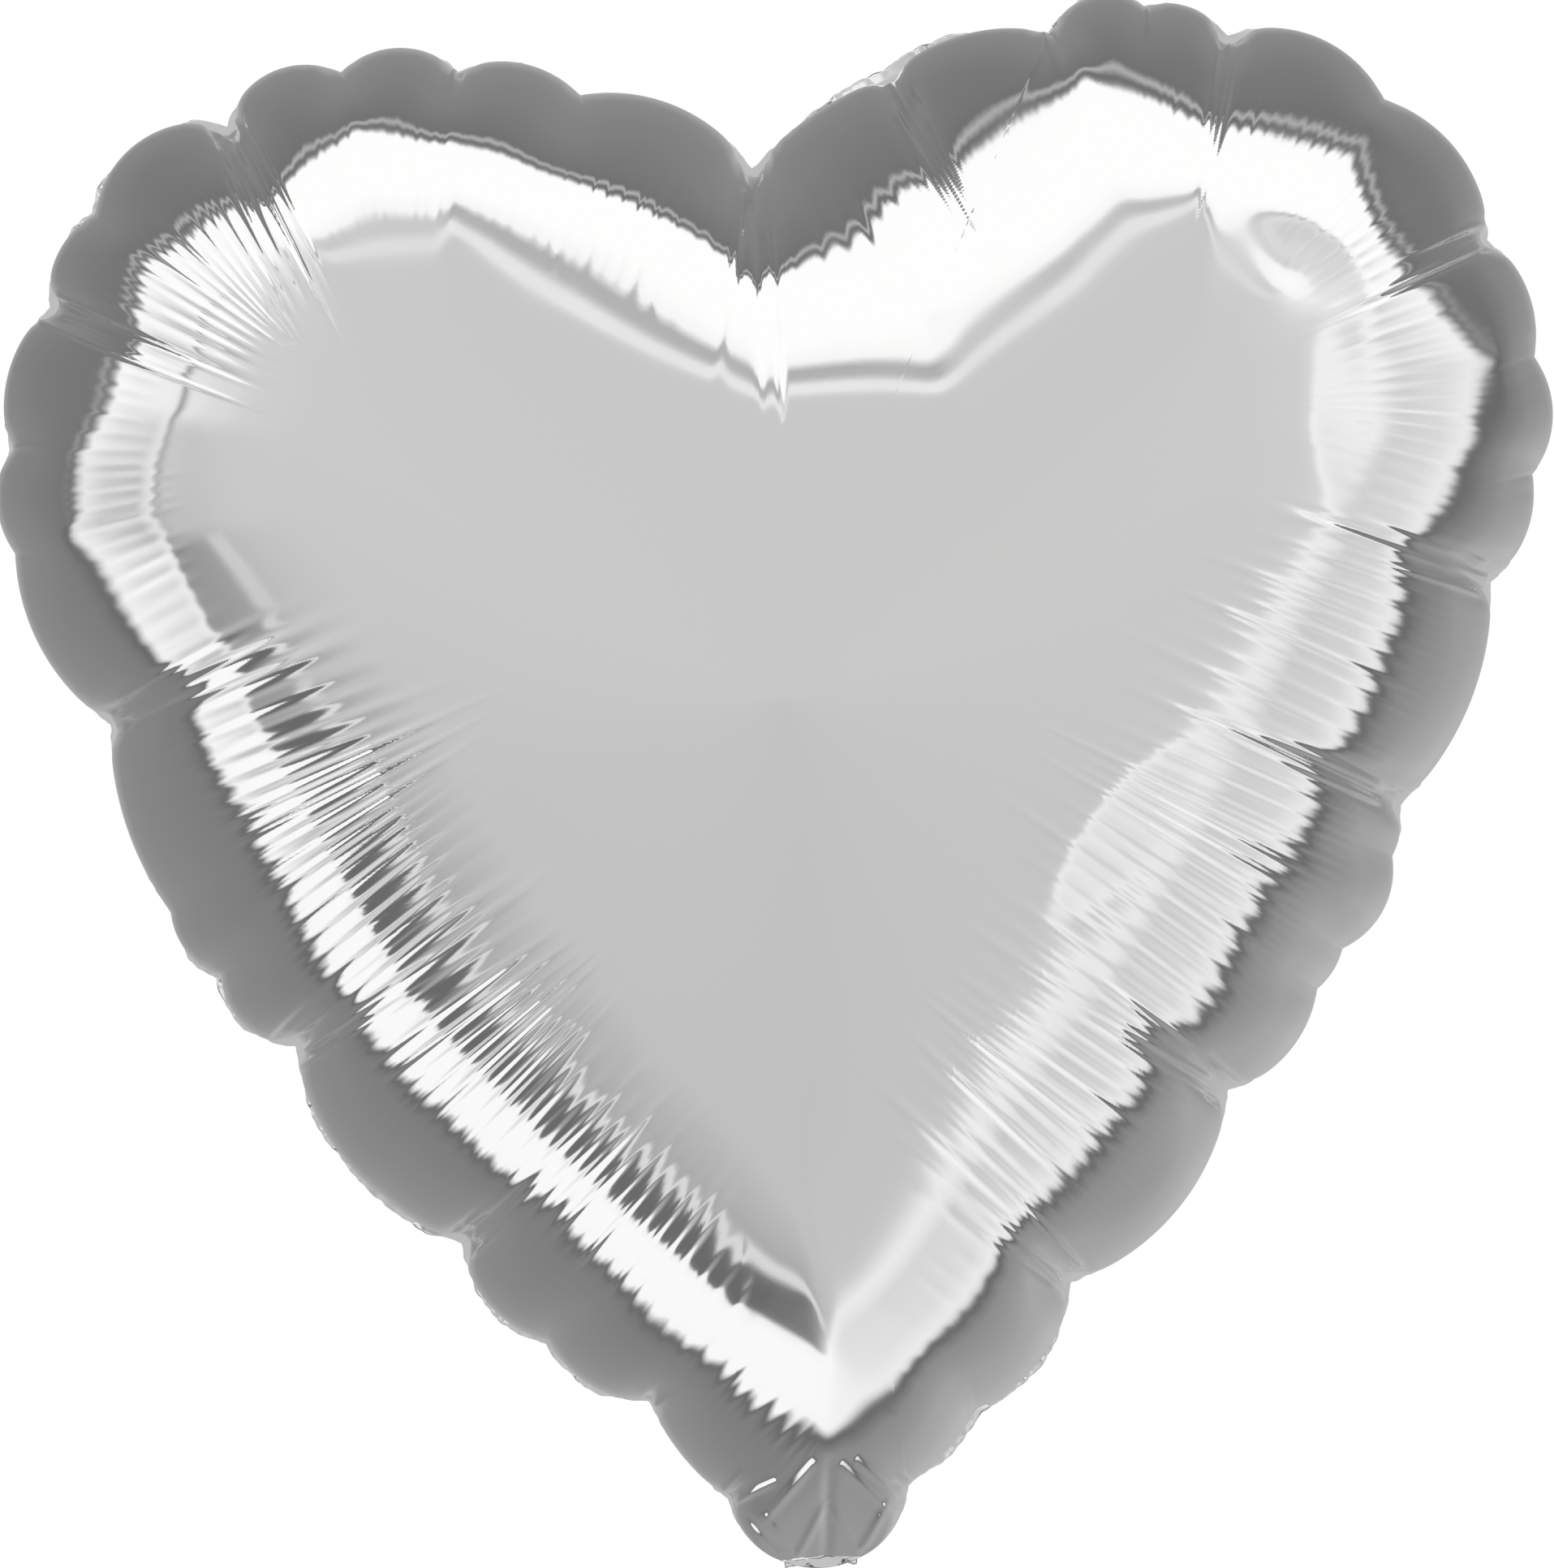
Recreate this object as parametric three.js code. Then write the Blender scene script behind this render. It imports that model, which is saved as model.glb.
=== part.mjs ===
// Heart-shaped foil balloon, inflated, with its filling tail folded up behind it.
//
// Two films of metallised plastic are heat-sealed along a heart outline and run on, below its tip, as a
// flat filling tail. Two clear valve films lie in the tail and reach up inside the heart, where the gas
// presses them together. The tail swings on the crease at the gathered neck, from flat against the back
// of the balloon to hanging straight down.
//
// Millimetres. +X is to the right seen from the front, +Z is up and the front faces -Y. The origin is the
// gathered neck, where a ribbon or a stick is tied.

import * as THREE from 'three';
import { ParametricGeometry } from 'three/addons/geometries/ParametricGeometry.js';

// Size of the inflated heart.
const HALF_THICKNESS = 82; // crown of either film to the plane of the seam
const HEART = new THREE.Vector2(2, 228); // x and z of the thickest point

// Corners of the seam, where pleats gather it, clockwise from the top of the right lobe.
// Each is [x, z, bow]: bow is how far the seam swells out on its way to the next corner.
const SEAM_CORNERS = [
  [105, 396, 3], [126, 387, 8], [165, 368, 7], [190, 331, 4.5], [200, 300, 5], [198, 270, 4],
  [186, 243, 6.5], [160, 187, 1], [157, 174, 4.5], [143, 151, 1], [136, 141, 5], [112, 116, 9],
  [69, 69, 5.5], [43, 38, 1.5], [24.5, 19, 19.5], [-22, 18, 2], [-41, 44, 4], [-66, 61, 5],
  [-87, 87, 1], [-106, 100, 4.5], [-127, 140, 5], [-145, 159, 3], [-157, 176, 4], [-170, 225, 6],
  [-192, 270, 4], [-192, 297, 5.5], [-180, 333, 4], [-167, 356, 9], [-132, 377, 7.5], [-102, 389, 6],
  [-72, 388, 5], [-41, 380, 7], [2, 359, 2.5], [38, 381, 5], [80, 390, 5.5],
];

// Films, shown thicker than they are so that each is a solid.
const FILM = 0.5;
const GAP = 0.3; // between neighbouring pieces
const SEAM_THICKNESS = 0.6;
const SEAM_WIDTH = 5;
const RIM_INSET = 2; // the films swell out to this far inside the seam's outer edge
const WAIST_HALF_WIDTH = 9; // of the gathered neck

// Where the neck is creased, the two films close to a wedge.
const NECK_TOP = 1; // height at which the films part
const FRONT_WEDGE = THREE.MathUtils.degToRad(50);
const REAR_WEDGE = THREE.MathUtils.degToRad(33);
const WEDGE_SHARPNESS = 6; // of the change from the pillow's shape to the wedge's

// Filling tail, in its own frame: z runs from the crease to the open end, y away from the balloon.
const FOLD_BACK = 1.8; // the crease lies this far behind the seam's plane
const REST_LEAN = THREE.MathUtils.degToRad(34); // of the folded tail, from upright
const TAIL_START = 1.2;
const TAIL_LENGTH = 80;
const TAIL_HALF_WIDTH = 20;
const TAIL_MIDDLE = 1; // x of the tail's centreline
const TAIL_SHOULDER = 20; // height at which the gathered tail reaches its full width
const TAIL_CORNER = 4;
const TAIL_SEAM_WIDTH = 4;
const TAIL_PLY = 0.3;
const PLY_OFFSET = 0.65; // tail's mid-plane to a ply's inner face

// Self-sealing valve: two clear films, and a printed patch that keeps them from being sealed together.
const VALVE_FILM = 0.2;
const VALVE_HALF_WIDTH = 15;
const VALVE_TAIL_OFFSET = 0.15;
const VALVE_BODY_OFFSET = 0.35;
const VALVE_TAIL_END = 68;
const VALVE_BODY_START = 5;
const VALVE_BODY_END = 78;
const PATCH_THICKNESS = 0.1;
const PATCH_HALF_WIDTH = 12;
const PATCH_START = 24;
const PATCH_END = 50;

// Fineness of the model.
const SEAM_STEP = 11.5; // along the seam
const RINGS = 8; // from the crown to the rim
const CURVE_SIDES = 6; // of each curved edge of the tail
const SWEEPS = 400;

const foil = { color: 0xd4d4d2, roughness: 0.14, metalness: 1 };
const seal = { color: 0xbfbfbd, roughness: 0.3, metalness: 1 };
const clear = { color: 0xeef0ee, roughness: 0.25, metalness: 0 };
const print = { color: 0xe6e2d4, roughness: 0.8, metalness: 0 };

// ---------------------------------------------------------------- outline

// Points of the round edge between two corners of the seam, without its last point.
function bowedEdge([x, z, bow], [nextX, nextZ]) {
  const from = new THREE.Vector2(x, z);
  const to = new THREE.Vector2(nextX, nextZ);
  const along = to.clone().sub(from);
  const chord = along.length();
  along.divideScalar(chord);
  const outward = new THREE.Vector2(-along.y, along.x);
  const radius = (chord * chord / 4 + bow * bow) / (2 * bow);
  const reach = Math.asin(chord / 2 / radius);
  const centre = from.clone().add(to).multiplyScalar(0.5).addScaledVector(outward, bow - radius);
  const steps = Math.max(2, Math.round(2 * reach * radius / SEAM_STEP));
  return Array.from({ length: steps }, (_, step) => {
    const angle = reach * (2 * step / steps - 1);
    return centre.clone()
      .addScaledVector(outward, radius * Math.cos(angle))
      .addScaledVector(along, radius * Math.sin(angle));
  });
}

// The loop moved inwards by a distance, along each point's own normal.
function inset(loop, distance) {
  return loop.map((point, index) => {
    const before = loop.at(index - 1);
    const after = loop[(index + 1) % loop.length];
    const along = after.clone().sub(before).normalize();
    return point.clone().add(new THREE.Vector2(along.y, -along.x).multiplyScalar(distance));
  });
}

const seamEdge = SEAM_CORNERS.flatMap((corner, index) =>
  bowedEdge(corner, SEAM_CORNERS[(index + 1) % SEAM_CORNERS.length]));
const rim = inset(seamEdge, RIM_INSET);
const seamInner = inset(seamEdge, SEAM_WIDTH);

// ---------------------------------------------------------------- inflated film

// A film's grid: rings from the crown, ring 0, out to the rim, with one point on each spoke.
function gridPoint(ring, spoke) {
  const reach = Math.sin(ring / RINGS * Math.PI / 2);
  return HEART.clone().lerp(rim[spoke % rim.length], reach);
}

// Height of the film over each grid point. Thin film blown up from a flat outline stands at its rim at a
// right angle and rounds over to the crown: its height is the root of a pressed membrane's.
function inflatedHeights() {
  const spokes = rim.length;
  const number = (ring, spoke) => (ring === 0 ? 0 : 1 + (ring - 1) * spokes + spoke % spokes);
  const points = [];
  for (let ring = 0; ring <= RINGS; ring++) {
    for (let spoke = 0; spoke < (ring === 0 ? 1 : spokes); spoke++) {
      points[number(ring, spoke)] = gridPoint(ring, spoke);
    }
  }
  const links = points.map(() => new Map());
  const load = points.map(() => 0);
  const join = (a, b, c) => {
    const corners = [a, b, c];
    corners.forEach((corner, side) => {
      const next = corners[(side + 1) % 3];
      const last = corners[(side + 2) % 3];
      const one = points[next].clone().sub(points[corner]);
      const two = points[last].clone().sub(points[corner]);
      const area = Math.abs(one.cross(two));
      const pull = one.dot(two) / area / 2;
      links[next].set(last, (links[next].get(last) ?? 0) + pull);
      links[last].set(next, (links[last].get(next) ?? 0) + pull);
      load[corner] += area / 6;
    });
  };
  for (let ring = 0; ring < RINGS; ring++) {
    for (let spoke = 0; spoke < spokes; spoke++) {
      const inner = number(ring, spoke);
      const outer = number(ring + 1, spoke);
      const outerNext = number(ring + 1, spoke + 1);
      join(inner, outer, outerNext);
      if (ring > 0) join(inner, outerNext, number(ring, spoke + 1));
    }
  }
  const membrane = points.map(() => 0);
  const free = number(RINGS, 0);
  for (let sweep = 0; sweep < SWEEPS; sweep++) {
    for (let point = 0; point < free; point++) {
      let pulled = load[point];
      let stiffness = 0;
      for (const [other, pull] of links[point]) {
        pulled += pull * membrane[other];
        stiffness += pull;
      }
      membrane[point] = pulled / stiffness;
    }
  }
  const crown = Math.max(...membrane);
  return (ring, spoke) =>
    HALF_THICKNESS * Math.sqrt(Math.max(0, membrane[number(ring, spoke)]) / crown);
}

// One film of the heart, a shell open towards the seam. side is -1 for the front and 1 for the rear.
function heartFilm(side, wedge, heights) {
  const innerScale = 1 - FILM / HALF_THICKNESS;
  const profile = (u, v, target) => {
    const step = Math.round(u * (2 * RINGS + 1));
    const turn = side > 0 ? v : 1 - v;
    const spoke = Math.round(turn * rim.length) % rim.length;
    const isInner = step > RINGS;
    const ring = isInner ? 2 * RINGS + 1 - step : step;
    const place = gridPoint(ring, spoke);
    const opening = Math.max(0, place.y - NECK_TOP) * Math.tan(wedge);
    const full = heights(ring, spoke);
    const height = full > 0 && opening > 0
      ? (full ** -WEDGE_SHARPNESS + opening ** -WEDGE_SHARPNESS) ** (-1 / WEDGE_SHARPNESS)
      : 0;
    if (isInner) place.sub(HEART).multiplyScalar(innerScale).add(HEART);
    const lift = SEAM_THICKNESS / 2 + GAP + height * (isInner ? innerScale : 1);
    target.set(place.x, side * lift, place.y);
  };
  return new ParametricGeometry(profile, 2 * RINGS + 1, rim.length);
}

// ---------------------------------------------------------------- flat films

// A flat film with the given outline in x and z, between two values of y.
function flatFilm(outline, low, high) {
  const geometry = new THREE.ExtrudeGeometry(new THREE.Shape(outline), {
    depth: high - low,
    bevelEnabled: false,
    steps: 1,
  });
  return geometry.rotateX(Math.PI / 2).translate(0, high, 0);
}

// The seam is one band round the heart, open where the valve goes through the neck.
function seamBand() {
  const isOpen = (point) => point.y < HEART.y / 2 && Math.abs(point.x) < WAIST_HALF_WIDTH;
  const start = seamEdge.findLastIndex(isOpen) + 1;
  const turned = (loop) => [...loop.slice(start), ...loop.slice(0, start)];
  const outer = turned(seamEdge).filter((point) => !isOpen(point));
  const inner = turned(seamInner).filter((point, index) => !isOpen(turned(seamEdge)[index]));
  return [...outer, ...inner.reverse()];
}

// A strip that is gathered at its start and widens over a quarter wave to its full width.
function gatheredStrip(startWidth, fullWidth, start, shoulder, end, corner) {
  const path = new THREE.Shape();
  path.moveTo(-startWidth, start);
  path.lineTo(startWidth, start);
  path.quadraticCurveTo(fullWidth, start + (shoulder - start) / 3, fullWidth, shoulder);
  path.lineTo(fullWidth, end - corner);
  path.lineTo(fullWidth - corner, end);
  path.lineTo(corner - fullWidth, end);
  path.lineTo(-fullWidth, end - corner);
  path.lineTo(-fullWidth, shoulder);
  path.quadraticCurveTo(-fullWidth, start + (shoulder - start) / 3, -startWidth, start);
  return path.getPoints(CURVE_SIDES);
}

// The seam along one edge of the tail; side is -1 for the left and 1 for the right.
function tailSeam(side) {
  const end = TAIL_LENGTH - TAIL_CORNER;
  const bend = TAIL_START + (TAIL_SHOULDER - TAIL_START) / 3;
  const inner = TAIL_HALF_WIDTH - TAIL_SEAM_WIDTH;
  const path = new THREE.Shape();
  path.moveTo(side * WAIST_HALF_WIDTH, TAIL_START);
  path.quadraticCurveTo(side * TAIL_HALF_WIDTH, bend, side * TAIL_HALF_WIDTH, TAIL_SHOULDER);
  path.lineTo(side * TAIL_HALF_WIDTH, end);
  path.lineTo(side * inner, end);
  path.lineTo(side * inner, TAIL_SHOULDER);
  path.quadraticCurveTo(side * inner, bend, side * (WAIST_HALF_WIDTH - TAIL_SEAM_WIDTH + 1), TAIL_START);
  return path.getPoints(CURVE_SIDES);
}

// ---------------------------------------------------------------- assembly

function piece(name, geometry, look) {
  const mesh = new THREE.Mesh(geometry, new THREE.MeshStandardMaterial(look));
  mesh.name = name;
  return mesh;
}

function body() {
  const heights = inflatedHeights();
  const valveWaist = WAIST_HALF_WIDTH - 1;
  const valve = gatheredStrip(valveWaist, VALVE_HALF_WIDTH, VALVE_BODY_START, TAIL_SHOULDER,
    VALVE_BODY_END, 0.5);
  const patch = [
    new THREE.Vector2(-PATCH_HALF_WIDTH, PATCH_START), new THREE.Vector2(PATCH_HALF_WIDTH, PATCH_START),
    new THREE.Vector2(PATCH_HALF_WIDTH, PATCH_END), new THREE.Vector2(-PATCH_HALF_WIDTH, PATCH_END),
  ];
  const near = VALVE_BODY_OFFSET;
  const far = VALVE_BODY_OFFSET + VALVE_FILM;
  const group = new THREE.Group();
  group.add(
    piece('front_panel', heartFilm(-1, FRONT_WEDGE, heights), foil),
    piece('rear_panel', heartFilm(1, REAR_WEDGE, heights), foil),
    piece('body_seam', flatFilm(seamBand(), -SEAM_THICKNESS / 2, SEAM_THICKNESS / 2), seal),
    piece('valve_body_front', flatFilm(valve, -far, -near), clear),
    piece('valve_body_rear', flatFilm(valve, near, far), clear),
    piece('release_patch', flatFilm(patch, -PATCH_THICKNESS / 2, PATCH_THICKNESS / 2), print),
  );
  return group;
}

function tail() {
  const ply = gatheredStrip(WAIST_HALF_WIDTH, TAIL_HALF_WIDTH, TAIL_START, TAIL_SHOULDER,
    TAIL_LENGTH, TAIL_CORNER);
  const valve = gatheredStrip(WAIST_HALF_WIDTH - 5, VALVE_HALF_WIDTH, TAIL_START, TAIL_SHOULDER,
    VALVE_TAIL_END, 0.5);
  const plyFar = PLY_OFFSET + TAIL_PLY;
  const valveFar = VALVE_TAIL_OFFSET + VALVE_FILM;
  const seamHalf = PLY_OFFSET - GAP;
  const group = new THREE.Group();
  group.add(
    piece('tail_front_ply', flatFilm(ply, PLY_OFFSET, plyFar), foil),
    piece('tail_rear_ply', flatFilm(ply, -plyFar, -PLY_OFFSET), foil),
    piece('tail_seam_left', flatFilm(tailSeam(-1), -seamHalf, seamHalf), seal),
    piece('tail_seam_right', flatFilm(tailSeam(1), -seamHalf, seamHalf), seal),
    piece('valve_tail_front', flatFilm(valve, VALVE_TAIL_OFFSET, valveFar), clear),
    piece('valve_tail_rear', flatFilm(valve, -valveFar, -VALVE_TAIL_OFFSET), clear),
  );
  group.position.set(TAIL_MIDDLE, FOLD_BACK, 0);
  group.rotation.x = -REST_LEAN;
  return group;
}

const balloon = new THREE.Group();
balloon.add(body(), tail());

export default balloon;
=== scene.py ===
import math

import bpy
import numpy as np
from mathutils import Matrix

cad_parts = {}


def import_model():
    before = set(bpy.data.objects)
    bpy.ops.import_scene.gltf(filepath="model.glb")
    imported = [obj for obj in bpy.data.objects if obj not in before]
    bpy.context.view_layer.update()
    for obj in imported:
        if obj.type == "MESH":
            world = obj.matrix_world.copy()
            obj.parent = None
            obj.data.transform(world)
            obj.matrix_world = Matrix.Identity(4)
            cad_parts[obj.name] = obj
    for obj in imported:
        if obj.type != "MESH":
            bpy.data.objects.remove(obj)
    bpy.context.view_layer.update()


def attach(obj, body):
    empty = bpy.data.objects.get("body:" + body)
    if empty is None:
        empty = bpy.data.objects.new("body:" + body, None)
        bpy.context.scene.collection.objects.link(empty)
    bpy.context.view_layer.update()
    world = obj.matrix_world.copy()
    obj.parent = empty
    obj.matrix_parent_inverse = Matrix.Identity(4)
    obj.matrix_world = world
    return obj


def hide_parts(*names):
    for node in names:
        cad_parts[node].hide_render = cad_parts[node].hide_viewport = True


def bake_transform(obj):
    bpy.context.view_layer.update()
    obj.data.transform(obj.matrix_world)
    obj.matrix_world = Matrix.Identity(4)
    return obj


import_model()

# -------------------- driving sizes, in metres; lengths in tables in millimetres

HALF_THICKNESS = 0.082  # crown of either film to the plane of the seam
HEART = np.array([0.002, 0.228])  # x and z of the thickest point

# Corners of the seam, where pleats gather it, clockwise from the top of the right lobe: x, z, and how far
# the film swells out on its way to the next corner. A place on the seam is a corner's number and a share
# of the way to the next one.
SEAM_CORNERS = np.array([
    (105, 396, 3), (126, 387, 8), (165, 368, 7), (190, 331, 4.5), (200, 300, 5), (198, 270, 4),
    (186, 243, 6.5), (160, 187, 1), (157, 174, 4.5), (143, 151, 1), (136, 141, 5), (112, 116, 9),
    (69, 69, 5.5), (43, 38, 1.5), (24.5, 19, 19.5), (-22, 18, 2), (-41, 44, 4), (-66, 61, 5), (-87, 87, 1),
    (-106, 100, 4.5), (-127, 140, 5), (-145, 159, 3), (-157, 176, 4), (-170, 225, 6), (-192, 270, 4),
    (-192, 297, 5.5), (-180, 333, 4), (-167, 356, 9), (-132, 377, 7.5), (-102, 389, 6), (-72, 388, 5),
    (-41, 380, 7), (2, 359, 2.5), (38, 381, 5), (80, 390, 5.5),
]) / 1000
CORNERS = len(SEAM_CORNERS)

OUTLINE_STEP = 0.0004  # between points of the finely drawn outline
CHARGES = 500  # point sources behind the membrane's rim
CHARGE_OFFSET = 0.005
POINTS_AT_ONCE = 4000  # in the sums over all charges
SEAM_SOFTNESS = 0.020  # reach over which the seam's scallops are evened out for the wrinkles' directions

SPOKES = 2560  # of the films' grid, from the thickest point to the rim
RINGS = 250
HALVINGS = (0.60, 0.38, 0.20, 0.10, 0.05)  # shares of the reach below which the spokes are halved
CURL_RINGS = 7  # where the film turns in behind the rim to meet the seam
RIM_TUCK = 0.0008  # how far it turns in at the corners of the seam
RIM_CLEAR = 0.0006  # between either film's edge and the plane of the seam
RIM_REACH = 0.009  # width of the strip beside the rim that is raised

# Where the neck is creased, the two films close to a wedge.
NECK_TOP = 0.001  # height of the wedge's edge
NECK_CREASED = 0.030  # height up to which its creases are laid on the wedge
WEDGES = {-1: math.radians(50), 1: math.radians(33)}  # front and rear
WEDGE_SHARPNESS = 6  # of the change from the film's shape to the wedge's
NECK_PLACE = 14.5  # on the seam
NECK_OPEN = 0.014  # half the length of seam there without a heat seal
WAIST = 0.009  # half the width of the gathered neck

# Filling tail: its own frame runs up from the crease, out from the balloon and across.
FOLD_BACK = 0.0018  # from the plane of the seam to the crease
REST_LEAN = math.radians(34)  # of the folded tail from upright
TAIL_MIDDLE = 0.001
TAIL_START = 0.0012  # its films start this far up
TAIL_LENGTH = 0.080
TAIL_HALF_WIDTH = 0.020
TAIL_SHOULDER = 0.020  # its gathered part ends this far up
TAIL_CORNER = 0.004  # cut off at the open end
TAIL_SEAM = 0.004  # width of the heat seal along either edge
TAIL_SEAM_HALF_THICKNESS = 0.00022
PLY_OFFSET = 0.0008  # of either film from the middle
FILM = 0.00012  # drawn thickness of the thin films

# Valve: two films that run from the tail into the heart, and a printed patch between them.
VALVE_HALF_WIDTH = 0.015
VALVE_OUT = 0.00025  # from the middle, in the tail
VALVE_IN = 0.00045  # and in the heart
VALVE_TAIL_LENGTH = 0.068
VALVE_HEART = (0.005, 0.078)  # heights of both ends
PATCH_HEIGHTS = (0.024, 0.050)
PATCH_HALF_WIDTH = 0.012
INNER_FILM = 0.0001

FLANGE = 0.004  # width of the heat seal outside the films
SEAL_BEHIND = 0.002  # and of its part between them
SEAL_HALF_THICKNESS = 0.00015
FOLD_WAVES = 9.4  # of the gathers at the crease, in radians to either side

# Stretches of the seam where the heat seal shows outside the film: places at both ends.
SHOWING = [(12.2, 13.8), (16.2, 17.8), (18.2, 19.8), (20.3, 21.6), (26.6, 28.0), (32.3, 33.6), (34.3, 34.9)]
SHOWN_WIDTH = 0.0012

# Pleats: place on the seam, depth, length over the film, and number of creases.
PLEATS = [
    (1.0, 2.6, 95, 5), (3.0, 2.2, 90, 5), (6.0, 2.2, 105, 5), (7.0, 2.2, 110, 6), (11.0, 2.6, 115, 6),
    (12.0, 2.4, 85, 5), (14.0, 0.8, 26, 2), (15.0, 1, 30, 3), (18.0, 2.4, 85, 6), (20.0, 2.4, 90, 6),
    (23.0, 2.2, 95, 5), (26.0, 2.2, 95, 5), (28.0, 2.6, 105, 7), (32.0, 2, 120, 2), (33.0, 2.2, 100, 6),
    (30.0, 0.8, 40, 2), (0.0, 0.8, 40, 1), (16.0, 0.8, 40, 2), (25.0, 0.8, 40, 1), (34.0, 0.6, 40, 2),
]

# Wrinkles across the shoulder: place on the seam, spacing, height, and where over the film they start
# and end.
WRINKLES = np.array([
    (0.0, 5.2, 0.03, 40, 75), (1.0, 5.2, 0.12, 36, 70), (3.0, 5.2, 0.14, 36, 85), (3.3, 6, 0.12, 42, 90),
    (5.8, 6, 0.16, 42, 95), (6.2, 5.5, 0.3, 42, 110), (7.5, 5.5, 0.36, 42, 120), (10.9, 5.5, 0.36, 42, 125),
    (11.9, 5.6, 0.38, 42, 110), (12.3, 5.2, 0.1, 34, 70), (14.0, 5.2, 0.03, 20, 40),
    (15.5, 5.4, 0.18, 34, 75), (17.9, 5.4, 0.4, 44, 105), (20.0, 5.4, 0.45, 46, 120),
    (22.9, 5.6, 0.45, 46, 120), (23.2, 6, 0.1, 36, 80), (25.8, 6, 0.08, 34, 70), (26.1, 5.4, 0.34, 40, 100),
    (27.9, 5.4, 0.34, 40, 100), (28.2, 5, 0.05, 34, 70), (30.6, 4.4, 0.06, 34, 80),
    (31.6, 4.2, 0.15, 36, 85), (33.0, 4.4, 0.18, 36, 90), (33.2, 5, 0.03, 36, 70),
    (35.0, 5.2, 0.03, 40, 75),
]) / (1, 1000, 1000, 1000, 1000)

# Single creases: x and z of both ends, height and half width. One runs down from the notch, and the rest
# net the neck.
CREASES = np.array([
    (5.6, 356, 6.3, 290, -0.6, 1.1), (4, 348, 6.8, 316, 0.3, 0.8), (4.5, 30, 2.3, -1, -1.5, 1.5),
    (1, 29, -14, 12, 1, 1.2), (-13.3, 15, -3.5, 0, 1, 1.2), (-6, 0, 4, 19, 0.9, 1.1),
    (7, 28, 20.5, 12.5, 1, 1.2), (19.5, 17, 10, 0, 1, 1.2), (12.5, 0, 3.5, 16.5, 0.9, 1.1),
    (-22.5, 17, -9, 24, 0.8, 1), (-17.5, 15, -9, 4, -0.7, 1), (23, 16, 11, 29, 0.8, 1),
]) / 1000

# Where the taut strips between two pleats tilt 40 degrees and 25 degrees from the camera: corners of two
# closed lines (x, z), clockwise.
STEEP_LINE = np.array([
    (5, 338), (29, 346), (86, 380), (123, 376), (160, 360), (182, 325), (191, 300), (188, 278), (175, 251),
    (147, 195), (105, 131), (56, 77), (22, 41), (4, 24), (-13, 39), (-33, 56), (-64, 91), (-75, 100),
    (-112, 142), (-154, 227), (-179, 273), (-178, 294), (-166, 326), (-159, 344), (-131, 362), (-99, 376),
    (-72, 373),
]) / 1000
GENTLE_LINE = np.array([
    (5, 321), (45, 315), (82, 330), (115, 345), (144, 325), (150, 305), (151, 280), (145, 255), (117, 205),
    (80, 150), (40, 98), (17, 70), (6, 59), (-12, 71), (-54, 105), (-91, 151), (-133, 230), (-146, 270),
    (-146, 300), (-134, 325), (-114, 349), (-73, 355), (-40, 341),
]) / 1000
STEEP, GENTLE = math.tan(math.radians(40)), math.tan(math.radians(25))
CROWN_BLEND = (0.004, 0.050)  # inside the gentle line, where the crown's own tilt takes over
CROWN_FADE = 0.070  # way inwards over which the gentle line's tilt fades
SHOULDER_SPAN = 0.045  # widest stretch outside the steep line
LINE_MARGIN = 0.004
SHOULDER_ROUNDS = 4  # of fitting the height to the tilts

# Flat places on the shoulder: x, z, half the length and width, and in degrees the turn, the tilt and the
# way it faces. Both ways are clockwise from straight up.
FLATS = np.array([
    (146, 287, 26, 8, 0, 26, 88), (86, 185, 28, 10, 42, 26, 130), (143, 325, 19, 8.5, -50, 17, 42),
]) / (1000, 1000, 1000, 1000, 1, 1, 1)


# -------------------- outline

def smooth(value, low, high):
    """0 up to low, 1 from high, and a smooth step between them."""
    part = np.clip((value - low) / (high - low), 0, 1)
    return part * part * (3 - 2 * part)


def bowed_edge(corner, following, number):
    """Points on the circular arc from one corner to the next, without its last point, and their places."""
    start, end, bow = corner[:2], following[:2], corner[2]
    along = end - start
    chord = np.linalg.norm(along)
    along = along / chord
    outward = np.array([-along[1], along[0]])
    radius = (chord * chord / 4 + bow * bow) / (2 * bow)
    reach = math.asin(chord / 2 / radius)
    centre = (start + end) / 2 + outward * (bow - radius)
    steps = max(4, round(2 * reach * radius / OUTLINE_STEP))
    share = np.arange(steps)[:, None] / steps
    angle = reach * (2 * share - 1)
    arc = centre + radius * (np.cos(angle) * outward + np.sin(angle) * along)
    return np.hstack([arc, number + share])


def whole_outline():
    following = np.roll(SEAM_CORNERS, -1, axis=0)
    return np.concatenate([
        bowed_edge(corner, after, number)
        for number, (corner, after) in enumerate(zip(SEAM_CORNERS, following))
    ])


def resampled(loop, count):
    """The closed loop of x, z and place with its points an even distance apart."""
    closed = np.vstack([loop, loop[0] + (0, 0, CORNERS)])
    run = np.concatenate([[0], np.cumsum(np.linalg.norm(np.diff(closed[:, :2], axis=0), axis=1))])
    even = np.linspace(0, run[-1], count, endpoint=False)
    return np.stack([np.interp(even, run, closed[:, k]) for k in range(3)], axis=1)


def along_of(loop):
    along = np.roll(loop, -1, axis=0) - np.roll(loop, 1, axis=0)
    return along / np.linalg.norm(along, axis=1)[:, None]


def outward_of(loop):
    along = along_of(loop)
    return np.stack([-along[:, 1], along[:, 0]], axis=1)


def softened(values, length, reach):
    """Values along a closed loop of the given length, blurred by a Gaussian of the given reach."""
    wave = np.fft.fftfreq(len(values), d=length / len(values))
    keep = np.exp(-2 * (math.pi * wave * reach) ** 2)
    return np.stack([np.fft.ifft(np.fft.fft(column) * keep).real for column in values.T], axis=1)


# -------------------- inflated base shape

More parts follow.
